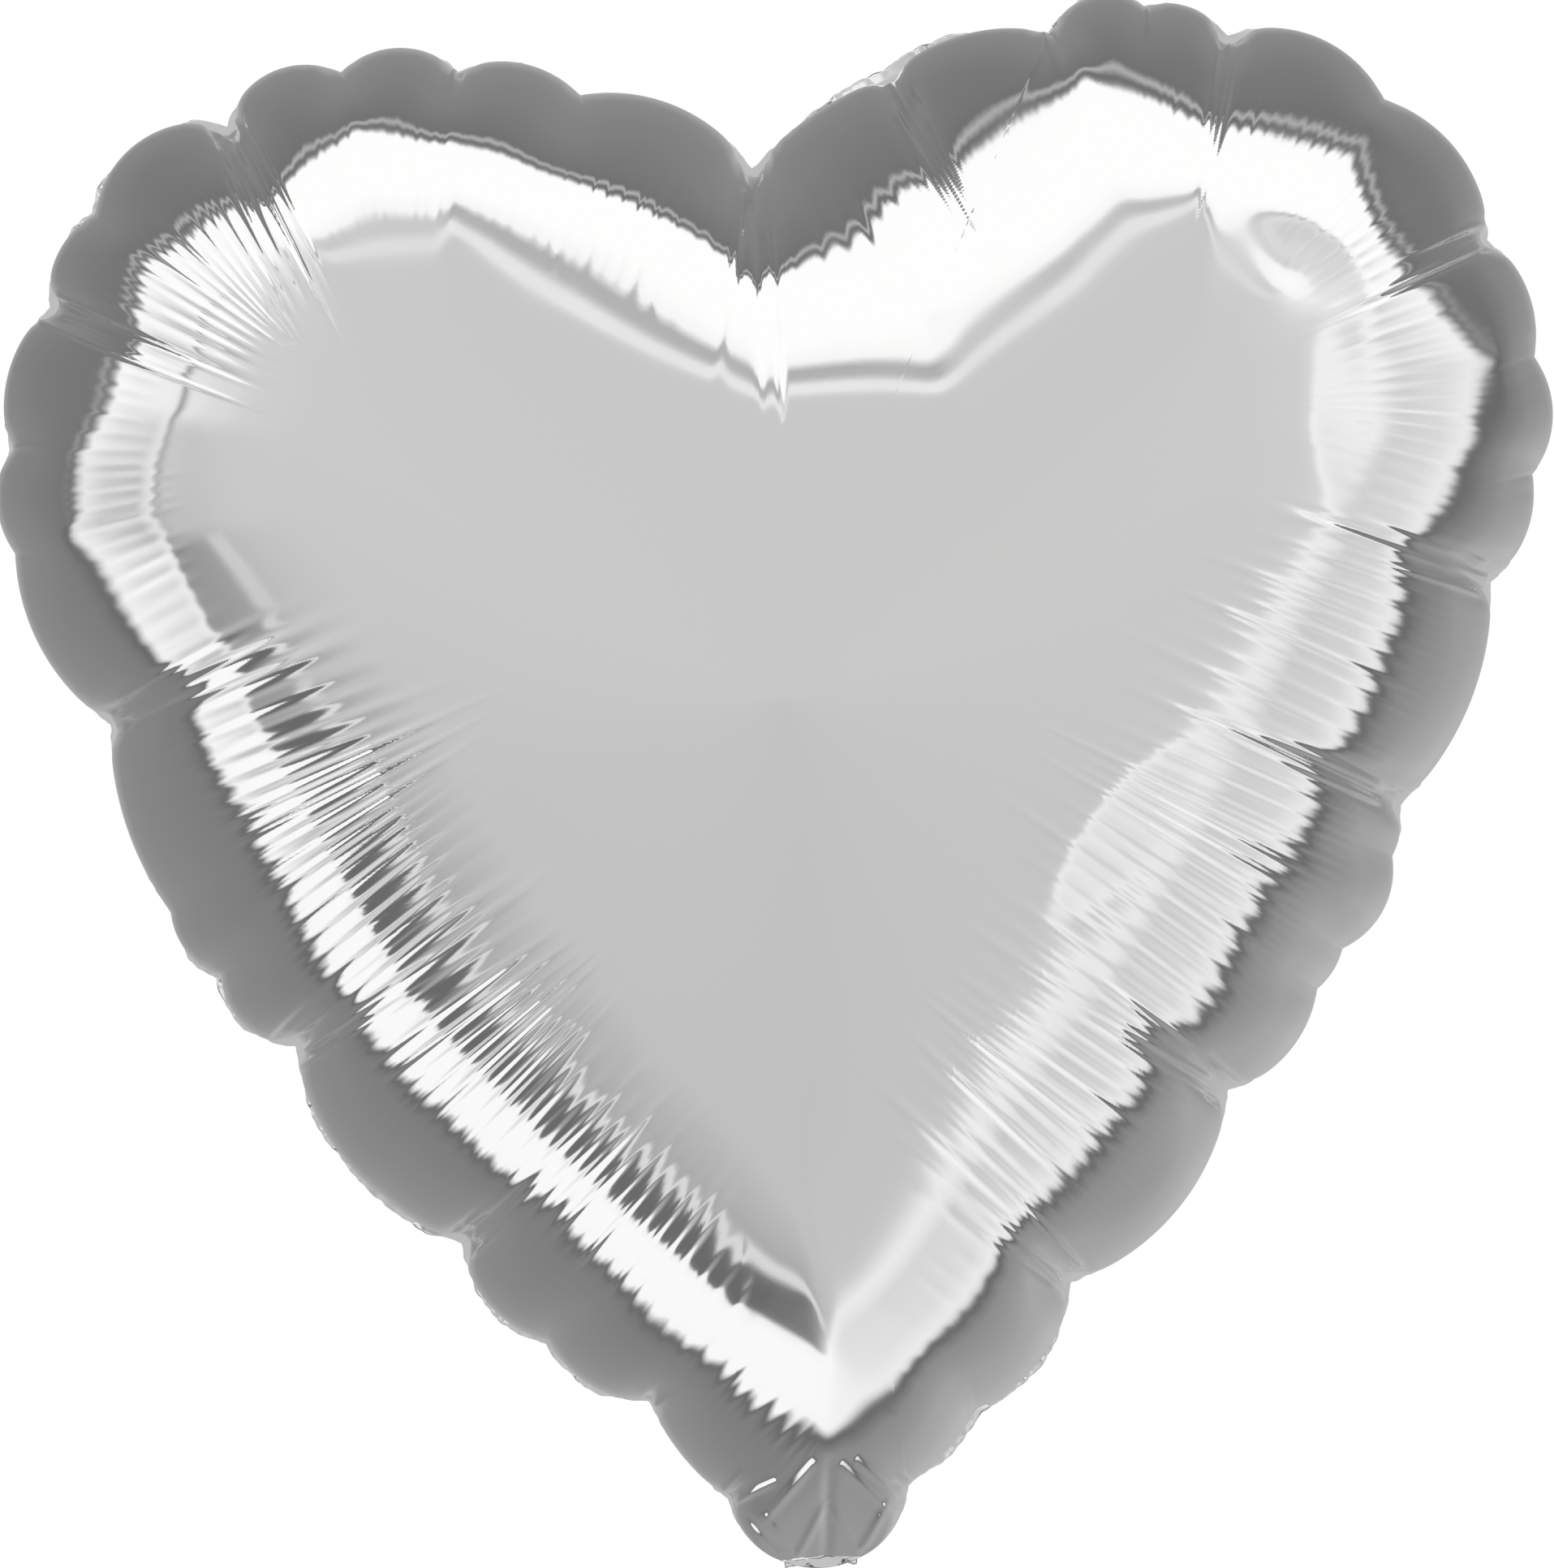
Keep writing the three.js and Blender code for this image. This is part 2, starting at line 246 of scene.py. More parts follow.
class Membrane:
    """A pressed membrane on the outline: it is zero on the rim and its curvature is even. Its square root,
    times the half thickness, is the height of an evenly inflated film. It is held by point charges just
    outside the rim, so that it is smooth everywhere inside."""

    def __init__(self, outline):
        self.rim = resampled(outline, 3 * CHARGES)[:, :2]
        behind = resampled(outline, CHARGES)[:, :2]
        self.charges = behind + outward_of(behind) * CHARGE_OFFSET
        away = self.rim[:, None, :] - self.charges[None, :, :]
        matrix = np.hstack([np.log((away ** 2).sum(axis=2)), np.ones((len(self.rim), 1))])
        self.inverse = np.linalg.pinv(np.vstack([matrix, np.eye(CHARGES + 1) * 1e-5]))
        self.strength = self.fit(((self.rim - HEART) ** 2).sum(axis=1) / 4)
        self.scale = 1.0
        shares = np.linspace(0, 0.9, 20)[None, :, None]
        inside = HEART + shares * (self.rim[::5, None, :] - HEART)
        self.scale = 1 / self.at(inside.reshape(-1, 2))[0].max()

    def fit(self, wanted):
        """Strengths of the charges that give the wanted values on the rim."""
        return self.inverse @ np.append(wanted, np.zeros(CHARGES + 1))

    def blocks(self, points):
        """Blocks of points, with their distances from all charges in x and z and the square of both."""
        for low in range(0, len(points), POINTS_AT_ONCE):
            block = slice(low, low + POINTS_AT_ONCE)
            dx = points[block, 0:1] - self.charges[:, 0]
            dz = points[block, 1:2] - self.charges[:, 1]
            yield block, dx, dz, dx * dx + dz * dz

    def field(self, strength, points):
        """What charges of the given strengths give at each point."""
        total = np.empty(len(points))
        for block, _, _, square in self.blocks(points):
            total[block] = np.log(square) @ strength[:-1] + strength[-1]
        return total

    def at(self, points):
        """Height and slope at each point, the greatest height being 1."""
        height, slope = np.empty(len(points)), np.empty((len(points), 2))
        charge = self.strength[:-1]
        for block, dx, dz, square in self.blocks(points):
            height[block] = np.log(square) @ charge + self.strength[-1]
            slope[block, 0] = (2 * dx / square) @ charge
            slope[block, 1] = (2 * dz / square) @ charge
        away = points - HEART
        height -= (away ** 2).sum(axis=1) / 4
        slope -= away / 2
        return height * self.scale, slope * self.scale


# -------------------- the film's grid

class Grid:
    """Points of a film in rings, from the crown out to the rim. The inner rings have fewer spokes."""

    def __init__(self, rim):
        share = np.linspace(0, 1, RINGS + 1)[1:]
        reach = np.sin(math.pi / 2 * (1 - (1 - share) ** 1.4))
        strides = [2 ** sum(r < limit for limit in HALVINGS) for r in reach]
        self.rows = []
        points, spoke, reaches = [HEART[None, :]], [np.array([0])], [np.array([0.0])]
        start = 1
        for r, stride in zip(reach, strides):
            index = np.arange(0, SPOKES, stride)
            points.append(HEART + r * (rim[index] - HEART))
            spoke.append(index)
            reaches.append(np.full(len(index), r))
            self.rows.append((start, len(index)))
            start += len(index)
        self.points = np.concatenate(points)
        self.spoke = np.concatenate(spoke)
        self.reach = np.concatenate(reaches)
        for _ in range(CURL_RINGS):
            self.rows.append((start, SPOKES))
            start += SPOKES
        self.faces = self.triangles()

    def triangles(self):
        first, count = self.rows[0]
        ring = np.arange(count)
        faces = [np.stack([np.zeros(count, int), first + (ring + 1) % count, first + ring], axis=1)]
        for (inner, few), (outer, many) in zip(self.rows, self.rows[1:]):
            ring = np.arange(few)
            following = (ring + 1) % few
            if many == few:
                quads = [(inner + ring, outer + following, outer + ring),
                         (inner + ring, inner + following, outer + following)]
            else:
                near, middle, far = 2 * ring, 2 * ring + 1, (2 * ring + 2) % many
                quads = [(inner + ring, outer + middle, outer + near),
                         (inner + ring, inner + following, outer + middle),
                         (inner + following, outer + far, outer + middle)]
            faces += [np.stack(corners, axis=1) for corners in quads]
        return np.concatenate(faces)


class Seam:
    """Where each point of a film lies along the seam, and how far over the film it is from it."""

    def __init__(self, outline):
        self.rim = resampled(outline, SPOKES)
        ahead = np.roll(self.rim[:, :2], -1, axis=0) - self.rim[:, :2]
        self.step = np.linalg.norm(ahead, axis=1).mean()
        self.length = self.step * SPOKES
        self.loop = softened(self.rim[:, :2], self.length, SEAM_SOFTNESS)
        self.along = along_of(self.loop)
        self.outward = outward_of(self.loop)
        turn = (np.roll(self.along, -1, axis=0) - np.roll(self.along, 1, axis=0)) / (2 * self.step)
        self.bend = -(turn * self.outward).sum(axis=1)

    def run_at(self, place):
        """How far along the seam a place is, in metres."""
        places = np.append(self.rim[:, 2], CORNERS)
        return np.interp(np.mod(place, CORNERS), places, np.arange(SPOKES + 1) * self.step)

    def place_at(self, run):
        places = np.append(self.rim[:, 2], CORNERS)
        return np.interp(np.mod(run, self.length), np.arange(SPOKES + 1) * self.step, places)

    def runs(self, points, spoke):
        """The run of the nearest point of the evened seam."""
        def best(middle, offsets):
            least = np.full(len(points), np.inf)
            nearest = middle.copy()
            for offset in offsets:
                index = (middle + offset) % SPOKES
                away = ((points - self.loop[index]) ** 2).sum(axis=1)
                closer = away < least
                least[closer] = away[closer]
                nearest[closer] = index[closer]
            return nearest
        index = best(best(spoke, range(-180, 181, 12)), range(-12, 13))
        away = points - self.loop[index]
        inward = -(away * self.outward[index]).sum(axis=1)
        ahead = (away * self.along[index]).sum(axis=1)
        ahead = ahead / np.clip(1 - self.bend[index] * inward, 0.3, None)
        ahead = np.clip(ahead, -self.step, self.step)
        return np.mod((index * self.step) + ahead, self.length)

    def apart(self, run, other):
        """Signed distance along the seam from one run to another."""
        return (run - other + self.length / 2) % self.length - self.length / 2


# -------------------- shoulder

def to_line(line, points):
    """For each point: how far inside the closed line it lies, the nearest point of the line, and the way
    out."""
    least = np.full(len(points), np.inf)
    nearest, way = np.zeros_like(points), np.zeros_like(points)
    inside = np.zeros(len(points), bool)
    for start, end in zip(line, np.roll(line, -1, axis=0)):
        edge = end - start
        outward = np.array([-edge[1], edge[0]]) / np.linalg.norm(edge)
        share = np.clip((points - start) @ edge / (edge @ edge), 0, 1)
        foot = start + share[:, None] * edge
        away = points - foot
        distance = np.linalg.norm(away, axis=1)
        closer = distance < least
        least[closer] = distance[closer]
        nearest[closer] = foot[closer]
        on_edge = closer & (share > 0) & (share < 1)
        past = closer & ~on_edge
        way[on_edge] = outward
        side = np.where(away[past] @ outward < 0, -1, 1) / np.maximum(distance[past], 1e-9)
        way[past] = away[past] * side[:, None]
        spans = (start[1] > points[:, 1]) != (end[1] > points[:, 1])
        meets = start[0] + (points[:, 1] - start[1]) * edge[0] / (edge[1] if edge[1] else 1e-12)
        inside ^= spans & (points[:, 0] < meets)
    return np.where(inside, least, -least), nearest, way


class Raster:
    """Values on an even grid of x and z."""
    low = np.array([-0.225, -0.030])
    step = 0.00125
    size = (362, 374)
    softness = 0.0018  # reach over which given slopes are evened out

    def points(self):
        x, z = (self.low[k] + self.step * np.arange(self.size[k]) for k in (0, 1))
        return np.stack(np.meshgrid(x, z, indexing="ij"), axis=-1).reshape(-1, 2)

    def sample(self, values, points):
        """Smoothly interpolated values at the points."""
        place = (points - self.low) / self.step
        first = np.clip(np.floor(place).astype(int), 1, np.array(self.size) - 3)
        part = place - first
        weights = []
        for k in (0, 1):
            t = part[:, k]
            weights.append((-t / 2 + t ** 2 - t ** 3 / 2, 1 - 2.5 * t ** 2 + 1.5 * t ** 3,
                            t / 2 + 2 * t ** 2 - 1.5 * t ** 3, -t ** 2 / 2 + t ** 3 / 2))
        total = 0
        for i in range(4):
            for j in range(4):
                total = total + weights[0][i] * weights[1][j] * values[
                    first[:, 0] + i - 1, first[:, 1] + j - 1]
        return total

    def from_slopes(self, slope_x, slope_z):
        """Values whose slopes are, all in all, nearest to the given ones, and zero at the grid's edge."""
        source = np.gradient(slope_x, self.step, axis=0) + np.gradient(slope_z, self.step, axis=1)
        wide, high = self.size
        odd = np.zeros((2 * wide + 2, 2 * high + 2))
        odd[1:wide + 1, 1:high + 1] = source
        odd[wide + 2:, 1:high + 1] = -source[::-1]
        odd[:, high + 2:] = -odd[:, high:0:-1]
        wave_x, wave_z = (2 * math.pi * np.fft.fftfreq(n, d=self.step) for n in odd.shape)
        square = wave_x[:, None] ** 2 + wave_z[None, :] ** 2
        square[0, 0] = 1
        softened = np.fft.fft2(odd) * np.exp(-square * self.softness ** 2 / 2)
        return np.fft.ifft2(softened / -square).real[1:wide + 1, 1:high + 1]


def unit(vectors):
    return vectors / np.maximum(np.linalg.norm(vectors, axis=1), 1e-6)[:, None]


def with_flats(points, tilt, facing):
    """The tilt at each point and the way it faces, with the flat places blended in."""
    for x, z, long, wide, turn, flat_tilt, azimuth in FLATS:
        turn, azimuth = math.radians(turn), math.radians(azimuth)
        away = points - (x, z)
        along = (away[:, 0] * math.sin(turn) + away[:, 1] * math.cos(turn)) / long
        aside = (away[:, 0] * math.cos(turn) - away[:, 1] * math.sin(turn)) / wide
        part = (1 - smooth(along ** 2 + aside ** 2, 0.75, 1.1))[:, None]
        lean = np.array([math.sin(azimuth), math.cos(azimuth)]) * math.tan(math.radians(flat_tilt))
        blended = tilt[:, None] * facing * (1 - part) + lean * part
        tilt, facing = np.linalg.norm(blended, axis=1), unit(blended)
    return tilt, facing


def inner_tilts(points, height, slope, steep, steep_way, gentle, gentle_way):
    """The tilt at each point inside the steep line and the way it faces."""
    own_tilt = HALF_THICKNESS * np.linalg.norm(slope, axis=1) / (2 * np.sqrt(height))
    share = np.clip(steep / np.maximum(steep - gentle, 1e-6), 0, 1)  # 0 at the steep line, 1 at the gentle
    tilt = STEEP + (GENTLE - STEEP) * share
    facing = steep_way * (1 - share[:, None]) + gentle_way * share[:, None]
    own = smooth(gentle, *CROWN_BLEND)
    within = gentle > 0
    tilt[within] = (GENTLE * np.exp(-gentle / CROWN_FADE) * (1 - own) + own_tilt * own)[within]
    facing[within] = (gentle_way * (1 - own[:, None]) + unit(-slope) * own[:, None])[within]
    return with_flats(points, tilt, unit(facing))


def shoulder(membrane, outline, grid):
    """Height of every point of the inflated film. The crown is the membrane's. From there the tilt passes
    through the gentle and the steep line, and the film closes steeply down to the rim. The square of the
    height is fitted to these tilts, because it stays smooth up to the rim."""
    raster = Raster()
    points = raster.points()
    steep, steep_foot, steep_way = to_line(STEEP_LINE, points)
    gentle, _, gentle_way = to_line(GENTLE_LINE, points)
    near = steep > -SHOULDER_SPAN
    zone = near & (steep < LINE_MARGIN)
    margin, way = np.full(len(points), -1.0), steep_way.copy()
    margin[zone], _, way[zone] = to_line(resampled(outline, 300)[:, :2], points[zone])
    covered = near & ((margin > 0) | ~zone)
    height, slope = np.zeros(len(points)), np.zeros_like(points)
    height[covered], slope[covered] = membrane.at(points[covered])
    height = np.clip(height, 1e-6, None)
    tilt, facing = inner_tilts(points, height, slope, steep, steep_way, gentle, gentle_way)

    closing = margin - steep  # from the steep line to the rim
    left = np.clip(margin / np.maximum(closing, 0.003), -0.6, 1)
    edge_way = unit(steep_way * left[:, None] + way * (1 - left[:, None]))
    beyond = zone & (steep < 0)
    fade = smooth(margin, -0.010, -0.004)
    level = HALF_THICKNESS * np.sqrt(height)
    for _ in range(SHOULDER_ROUNDS):
        pull = 2 * level * tilt
        direction = facing.copy()
        line_level = np.maximum(raster.sample(level.reshape(raster.size), steep_foot), LINE_MARGIN)
        at_line = 2 * line_level * STEEP
        at_rim = 2 * line_level ** 2 / np.maximum(closing, LINE_MARGIN) - at_line
        at_rim = np.maximum(at_rim, 0.3 * at_line)
        pull[beyond] = (at_rim + (at_line - at_rim) * left)[beyond]
        direction[beyond] = edge_way[beyond]
        pull = np.where(beyond, pull * fade, pull) * near
        slopes = (-pull[:, None] * direction).reshape(*raster.size, 2)
        square = raster.from_slopes(slopes[..., 0], slopes[..., 1])
        strength = membrane.fit(-raster.sample(square, membrane.rim))
        total = square.ravel().copy()
        total[covered] += membrane.field(strength, points[covered])
        level = np.sqrt(np.clip(total, 1e-9, None))
    found = raster.sample(square, grid.points) + membrane.field(strength, grid.points)
    at_rim = found[-SPOKES:][grid.spoke]
    found = np.clip(found - at_rim * grid.reach ** 60, 1e-9, None)
    found[-SPOKES:] = 0
    return np.sqrt(found)


def normals_of_mesh(points, faces):
    corner = points[faces]
    cross = np.cross(corner[:, 1] - corner[:, 0], corner[:, 2] - corner[:, 0])
    total = np.stack([
        np.bincount(faces.ravel(), np.repeat(cross[:, k], 3), minlength=len(points)) for k in range(3)
    ], axis=1)
    return total / np.linalg.norm(total, axis=1)[:, None]


# -------------------- wrinkles, pleats and facets

def ridge_set(seam, rng, run, over, spacing_share, height_share, begin_shift, end_share, sharp):
    """Ridges across the shoulder, one after another round the seam."""
    starts, rows = [], []
    at = 0.0
    while at < seam.length:
        place = float(seam.place_at(at))
        spacing, height, begin, end = (np.interp(place, WRINKLES[:, 0], column) for column in WRINKLES.T[1:])
        starts.append(at)
        rows.append((
            height * height_share * rng.uniform(0.6, 1.3),
            spacing * spacing_share * sharp * rng.uniform(0.85, 1.2),
            begin + begin_shift + rng.normal(0, 0.0022),
            begin + (end - begin) * end_share * rng.uniform(0.82, 1.1),
        ))
        at += spacing * spacing_share * rng.uniform(0.86, 1.14)
    starts, rows = np.array(starts), np.array(rows)
    nearest = np.searchsorted(starts, run)
    lift = np.zeros(len(run))
    for step in (-2, -1, 0, 1):
        index = (nearest + step) % len(starts)
        height, width, begin, end = rows[index].T
        aside = seam.apart(run, starts[index])
        crest = np.exp(-(aside / width) ** 2)
        rise = smooth(over, begin, begin + 0.022)
        fall = 1 - smooth(over, begin + 0.55 * (end - begin), end)
        lift += height * crest * rise * fall
    return lift


def pleat_lift(seam, rng, run, over):
    """Valleys that draw the seam in at its corners, with sharp creases beside one another in them."""
    lift = np.zeros(len(run))
    for place, depth, length, creases in PLEATS:
        depth, length = depth / 1000, length / 1000
        aside = seam.apart(run, seam.run_at(place))
        near = np.abs(aside) < 0.03
        a, t = aside[near], over[near]
        valley = np.exp(-(a / 0.0046) ** 2) * (1 - smooth(t, 0.15 * length, 0.60 * length))
        total = -depth * valley
        for number in range(creases):
            start = (number - (creases - 1) / 2) * rng.uniform(0.0012, 0.0020)
            drift = rng.uniform(-0.05, 0.05) + 0.4 * start / length
            begin, end = rng.uniform(-0.02, 0.25) * length, rng.uniform(0.6, 1.05) * length
            width = rng.uniform(0.0008, 0.0011)
            line = np.exp(-((a - start - drift * t) / width) ** 2)
            span = smooth(t, begin, begin + 0.010) * (1 - smooth(t, 0.5 * end, end))
            height = rng.uniform(0.00042, 0.00070) * (1.8 - 0.8 * smooth(t, 0.018, 0.045))
            total += height * (-1) ** number * line * span
        lift[near] += total
    return lift


def crease_lift(points):
    lift = np.zeros(len(points))
    for start_x, start_z, end_x, end_z, height, width in CREASES:
        start, along = np.array([start_x, start_z]), np.array([end_x - start_x, end_z - start_z])
        share = (points - start) @ along / (along @ along)
        near = (share > 0) & (share < 1)
        aside = (points[near] - start) @ np.array([-along[1], along[0]]) / np.linalg.norm(along)
        fade = np.sin(math.pi * share[near]) ** 0.7
        lift[near] += height * fade * np.exp(-(aside / width) ** 2)
    return lift


# -------------------- building the films

def make_mesh(name, points, faces, material):
    mesh = bpy.data.meshes.new(name)
    mesh.vertices.add(len(points))
    mesh.vertices.foreach_set("co", np.asarray(points, np.float32).ravel())
    width = faces.shape[1]
    mesh.loops.add(faces.size)
    mesh.loops.foreach_set("vertex_index", np.asarray(faces, np.int32).ravel())
    mesh.polygons.add(len(faces))
    mesh.polygons.foreach_set("loop_start", np.arange(0, faces.size, width, dtype=np.int32))
    mesh.update(calc_edges=True)
    mesh.polygons.foreach_set("use_smooth", np.ones(len(faces), bool))
    mesh.materials.append(material)
    piece = bpy.data.objects.new(name, mesh)
    bpy.context.scene.collection.objects.link(piece)
    return piece


def rim_swell(seam):
    """How far the film swells past the seam at each spoke."""
    share = seam.rim[:, 2] % 1
    bow = SEAM_CORNERS[seam.rim[:, 2].astype(int) % CORNERS, 2]
    return 0.6 * np.minimum(bow, 0.009) * 4 * share * (1 - share)


def turned_in(rim, seam, swell):
    """Rings of points on which the film turns in behind its rim to meet the seam."""
    rings = []
    for ring in range(1, CURL_RINGS + 1):
        angle = math.pi / 2 * ring / CURL_RINGS
        tuck = (RIM_TUCK + swell) * (1 - math.cos(angle))
        place = rim[:, [0, 2]] - tuck[:, None] * seam.outward
        out = rim[:, 1] * (1 - math.sin(angle))
        rings.append(np.stack([place[:, 0], out, place[:, 1]], axis=1))
    return rings


def heart_film(side, seed, base, seam, grid):
    """Points of one film of the heart. side is -1 for the front and 1 for the rear."""
    rng = np.random.default_rng(seed)
    lift, normal = base
    radial = seam.rim[:, :2] - HEART
    far = np.linalg.norm(radial, axis=1)
    facing = np.clip((radial / far[:, None] * seam.outward).sum(axis=1), 0.5, 1)
    inward = (1 - grid.reach) * (far * facing)[grid.spoke]
    over = np.hypot(inward, lift)
    run = seam.runs(grid.points, grid.spoke)
    bump = pleat_lift(seam, rng, run, over)
    bump += ridge_set(seam, rng, run, over, 1.0, 1.0, 0.0, 1.0, 0.25)
    bump += ridge_set(seam, rng, run, over, 0.53, 0.26, -0.016, 0.80, 0.28)
    single = crease_lift(grid.points) if side < 0 else np.zeros(len(bump))
    at_neck = grid.points[:, 1] < NECK_CREASED
    bump += np.where(at_neck, 0, single)
    film = np.stack([grid.points[:, 0], lift, grid.points[:, 1]], axis=1)
    film += bump[:, None] * normal
    swell = rim_swell(seam)
    raised = 0.0010 + 0.4 * swell
    film[:, 1] += raised[grid.spoke] * np.exp(-(inward / RIM_REACH) ** 2)
    film = np.concatenate([film] + turned_in(film[-SPOKES:], seam, swell))
    # Towards the crease at the neck the film lies within a wedge.
    wedge = np.maximum((film[:, 2] - NECK_TOP) * math.tan(WEDGES[side]), 0.0003)
    out = np.maximum(film[:, 1], 1e-6)
    out = (out ** -WEDGE_SHARPNESS + wedge ** -WEDGE_SHARPNESS) ** (-1 / WEDGE_SHARPNESS)
    out[:len(single)] += np.where(at_neck, single, 0) * smooth(inward, 0.0, 0.003)
    film[:, 1] = side * (np.maximum(out, 0) + RIM_CLEAR)
    return film


def strip_of(rings, material, name):
    """A thin closed film from rows of points on both its faces: (row, face, point, x y z)."""
    rows, _, across, _ = rings.shape
    number = np.arange(rows * 2 * across).reshape(rows, 2, across)
    faces = []

    def quads(a, b, c, d):
        faces.append(np.stack([a.ravel(), b.ravel(), c.ravel(), d.ravel()], axis=1))

    left = np.arange(across - 1)
    right = left + 1
    for side, turn in ((0, 1), (1, -1)):
        sheet = number[:, side]
        corners = [sheet[:-1][:, left], sheet[:-1][:, right], sheet[1:][:, right], sheet[1:][:, left]]
        quads(*corners[::turn])
    for row, turn in ((0, -1), (rows - 1, 1)):
        corners = [number[row, 0][left], number[row, 0][right], number[row, 1][right], number[row, 1][left]]
        quads(*corners[::turn])
    for column, turn in ((0, 1), (across - 1, -1)):
        edge = number[:, :, column]
        corners = [edge[:-1, 0], edge[1:, 0], edge[1:, 1], edge[:-1, 1]]
        quads(*corners[::turn])
    return make_mesh(name, rings.reshape(-1, 3), np.concatenate(faces), material)


def tail_point(across, out, up):
    """Points of the tail's own frame, in the row frame."""
    lean_sin, lean_cos = math.sin(REST_LEAN), math.cos(REST_LEAN)
    return np.stack([
        TAIL_MIDDLE + across, FOLD_BACK + out * lean_cos + up * lean_sin, up * lean_cos - out * lean_sin,
    ], axis=-1)


def gathered_width(up, start_width, full_width, start):
    """Half the width of a gathered film at a height: it fans out from the crease to its shoulder."""
    part = np.linspace(0, 1, 60)
    bend = start + (TAIL_SHOULDER - start) / 3
    width = (1 - part) ** 2 * start_width + (2 * part * (1 - part) + part ** 2) * full_width
    height = (1 - part) ** 2 * start + 2 * part * (1 - part) * bend + part ** 2 * TAIL_SHOULDER
    return np.interp(up, height, width)


def tail_ruffle(across, up, width):
    """How far the tail's films stand out from flat: folds that fan out from the crease, and a slow wave."""
    share = across / width
    folds = np.cos(FOLD_WAVES * share + 0.9 * np.sin(3.1 * share + 0.5)) + 0.5 * np.cos(23.0 * share + 1.3)
    fan = 0.00045 * folds * np.exp(-(up / 0.022) ** 1.5) * smooth(up, -0.002, 0.006)
    wave = 0.0011 * np.sin(up / 0.0118 + 24 * across) * smooth(up, 0.022, 0.06)
    lift = 0.0030 * smooth(up, 0.045, 0.085) * (1 + 0.4 * np.sin(60 * across))
    return fan + wave + lift


def crinkles(rng, across, up, count, height):
    """Fine straight creases in a film, each fading away from its middle."""
    total = np.zeros_like(across)
    for _ in range(count):
        angle = rng.uniform(0, math.pi)
        middle = rng.uniform((-TAIL_HALF_WIDTH, 0.006), (TAIL_HALF_WIDTH, TAIL_LENGTH))
        aside = (across - middle[0]) * math.cos(angle) + (up - middle[1]) * math.sin(angle)
        along = (up - middle[1]) * math.cos(angle) - (across - middle[0]) * math.sin(angle)
        reach = rng.uniform(0.003, 0.010)
        ridge = np.exp(-np.abs(aside) / 0.0007) - 0.5 * np.exp(-np.abs(aside) / 0.0014)
        total += height * rng.choice((-1, 1)) * ridge * np.exp(-(along / reach) ** 2)
    return total


def tail_film(name, material, out, start_width, full_width, end, corner, seed):
    """A film of the tail, gathered at the crease, cut across its corners at the open end."""
    up = np.linspace(TAIL_START, end, 260)
    width = gathered_width(up, start_width, full_width, TAIL_START)
    share = np.linspace(-1, 1, 121)
    across = np.minimum(width, full_width - np.maximum(up - (end - corner), 0))[:, None] * share
    high = np.broadcast_to(up[:, None], across.shape)
    rng = np.random.default_rng(seed)
    stand = out + tail_ruffle(across, high, TAIL_HALF_WIDTH * width[:, None] / full_width)
    stand = stand + crinkles(rng, across, high, 46, 0.00010)
    faces = [tail_point(across, stand + side * FILM / 2, high) for side in (1, -1)]
    return strip_of(np.stack(faces, axis=1), material, name)


def tail_seal(name, material, side):
    """The heat seal along one edge of the tail, ribbed by the sealing bar."""
    up = np.linspace(TAIL_START, TAIL_LENGTH - TAIL_CORNER, 420)
    outer = gathered_width(up, WAIST, TAIL_HALF_WIDTH, TAIL_START)
    share = np.linspace(0, 1, 13)
    span = TAIL_SEAM * np.clip(0.75 + up / 0.02, 0, 1)
    across = side * (outer[:, None] - span[:, None] * share)
    high = np.broadcast_to(up[:, None], across.shape)
    stand = tail_ruffle(across, high, outer[:, None])
    stand = stand + 0.00005 * np.cos(2 * math.pi * high / 0.0011)
    order = (1, -1) if side < 0 else (-1, 1)
    faces = [tail_point(across, stand + turn * TAIL_SEAM_HALF_THICKNESS, high) for turn in order]
    return strip_of(np.stack(faces, axis=1), material, name)


def neck_fold(material):
    """The gathered film that runs from the neck round the crease into the tail."""
    turn = np.linspace(0, 1, 24)
    path = np.array([(0.0004, 0.0016), (0.0006, 0.0000), (0.0016, -0.0006), (0.0026, 0.0002),
                     (0.0042, 0.0034)])
    way = np.stack([np.interp(turn, np.linspace(0, 1, len(path)), path[:, k]) for k in (0, 1)], axis=1)
    for _ in range(3):
        way[1:-1] = (way[:-2] + 2 * way[1:-1] + way[2:]) / 4
    across = WAIST * np.linspace(-1, 1, 161)
    ahead = np.gradient(way, axis=0)
    aside = np.stack([ahead[:, 1], -ahead[:, 0]], axis=1) / np.linalg.norm(ahead, axis=1)[:, None]
    folds = np.cos(FOLD_WAVES * across / WAIST) + 0.5 * np.cos(23.0 * across / WAIST + 1.3)
    stand = 0.00022 * folds[None, :] * np.sin(math.pi * turn)[:, None]
    place = way[:, None, :] - stand[:, :, None] * aside[:, None, :]
    faces = []
    for side in (1, -1):
        moved = place + side * FILM / 2 * aside[:, None, :]
        wide = np.broadcast_to(TAIL_MIDDLE + across * (1 + 0.05 * turn[:, None]), moved.shape[:2])
        faces.append(np.stack([wide, moved[:, :, 0], moved[:, :, 1]], axis=-1))
    return strip_of(np.stack(faces, axis=1), material, "neck_fold")


def inner_film(name, material, out, half_width, start_width, start, end):
    """A film or print that lies inside the heart, in the plane of the seam."""
    up = np.linspace(start, end, 140)
    width = gathered_width(up, start_width, half_width, start)
    across = width[:, None] * np.linspace(-1, 1, 41)
    high = np.broadcast_to(up[:, None], across.shape)
    stand = out + 0.00006 * np.sin(up / 0.004)[:, None] * np.ones_like(across)
    faces = [np.stack([across, stand + side * INNER_FILM / 2, high], axis=-1) for side in (1, -1)]
    return strip_of(np.stack(faces, axis=1), material, name)


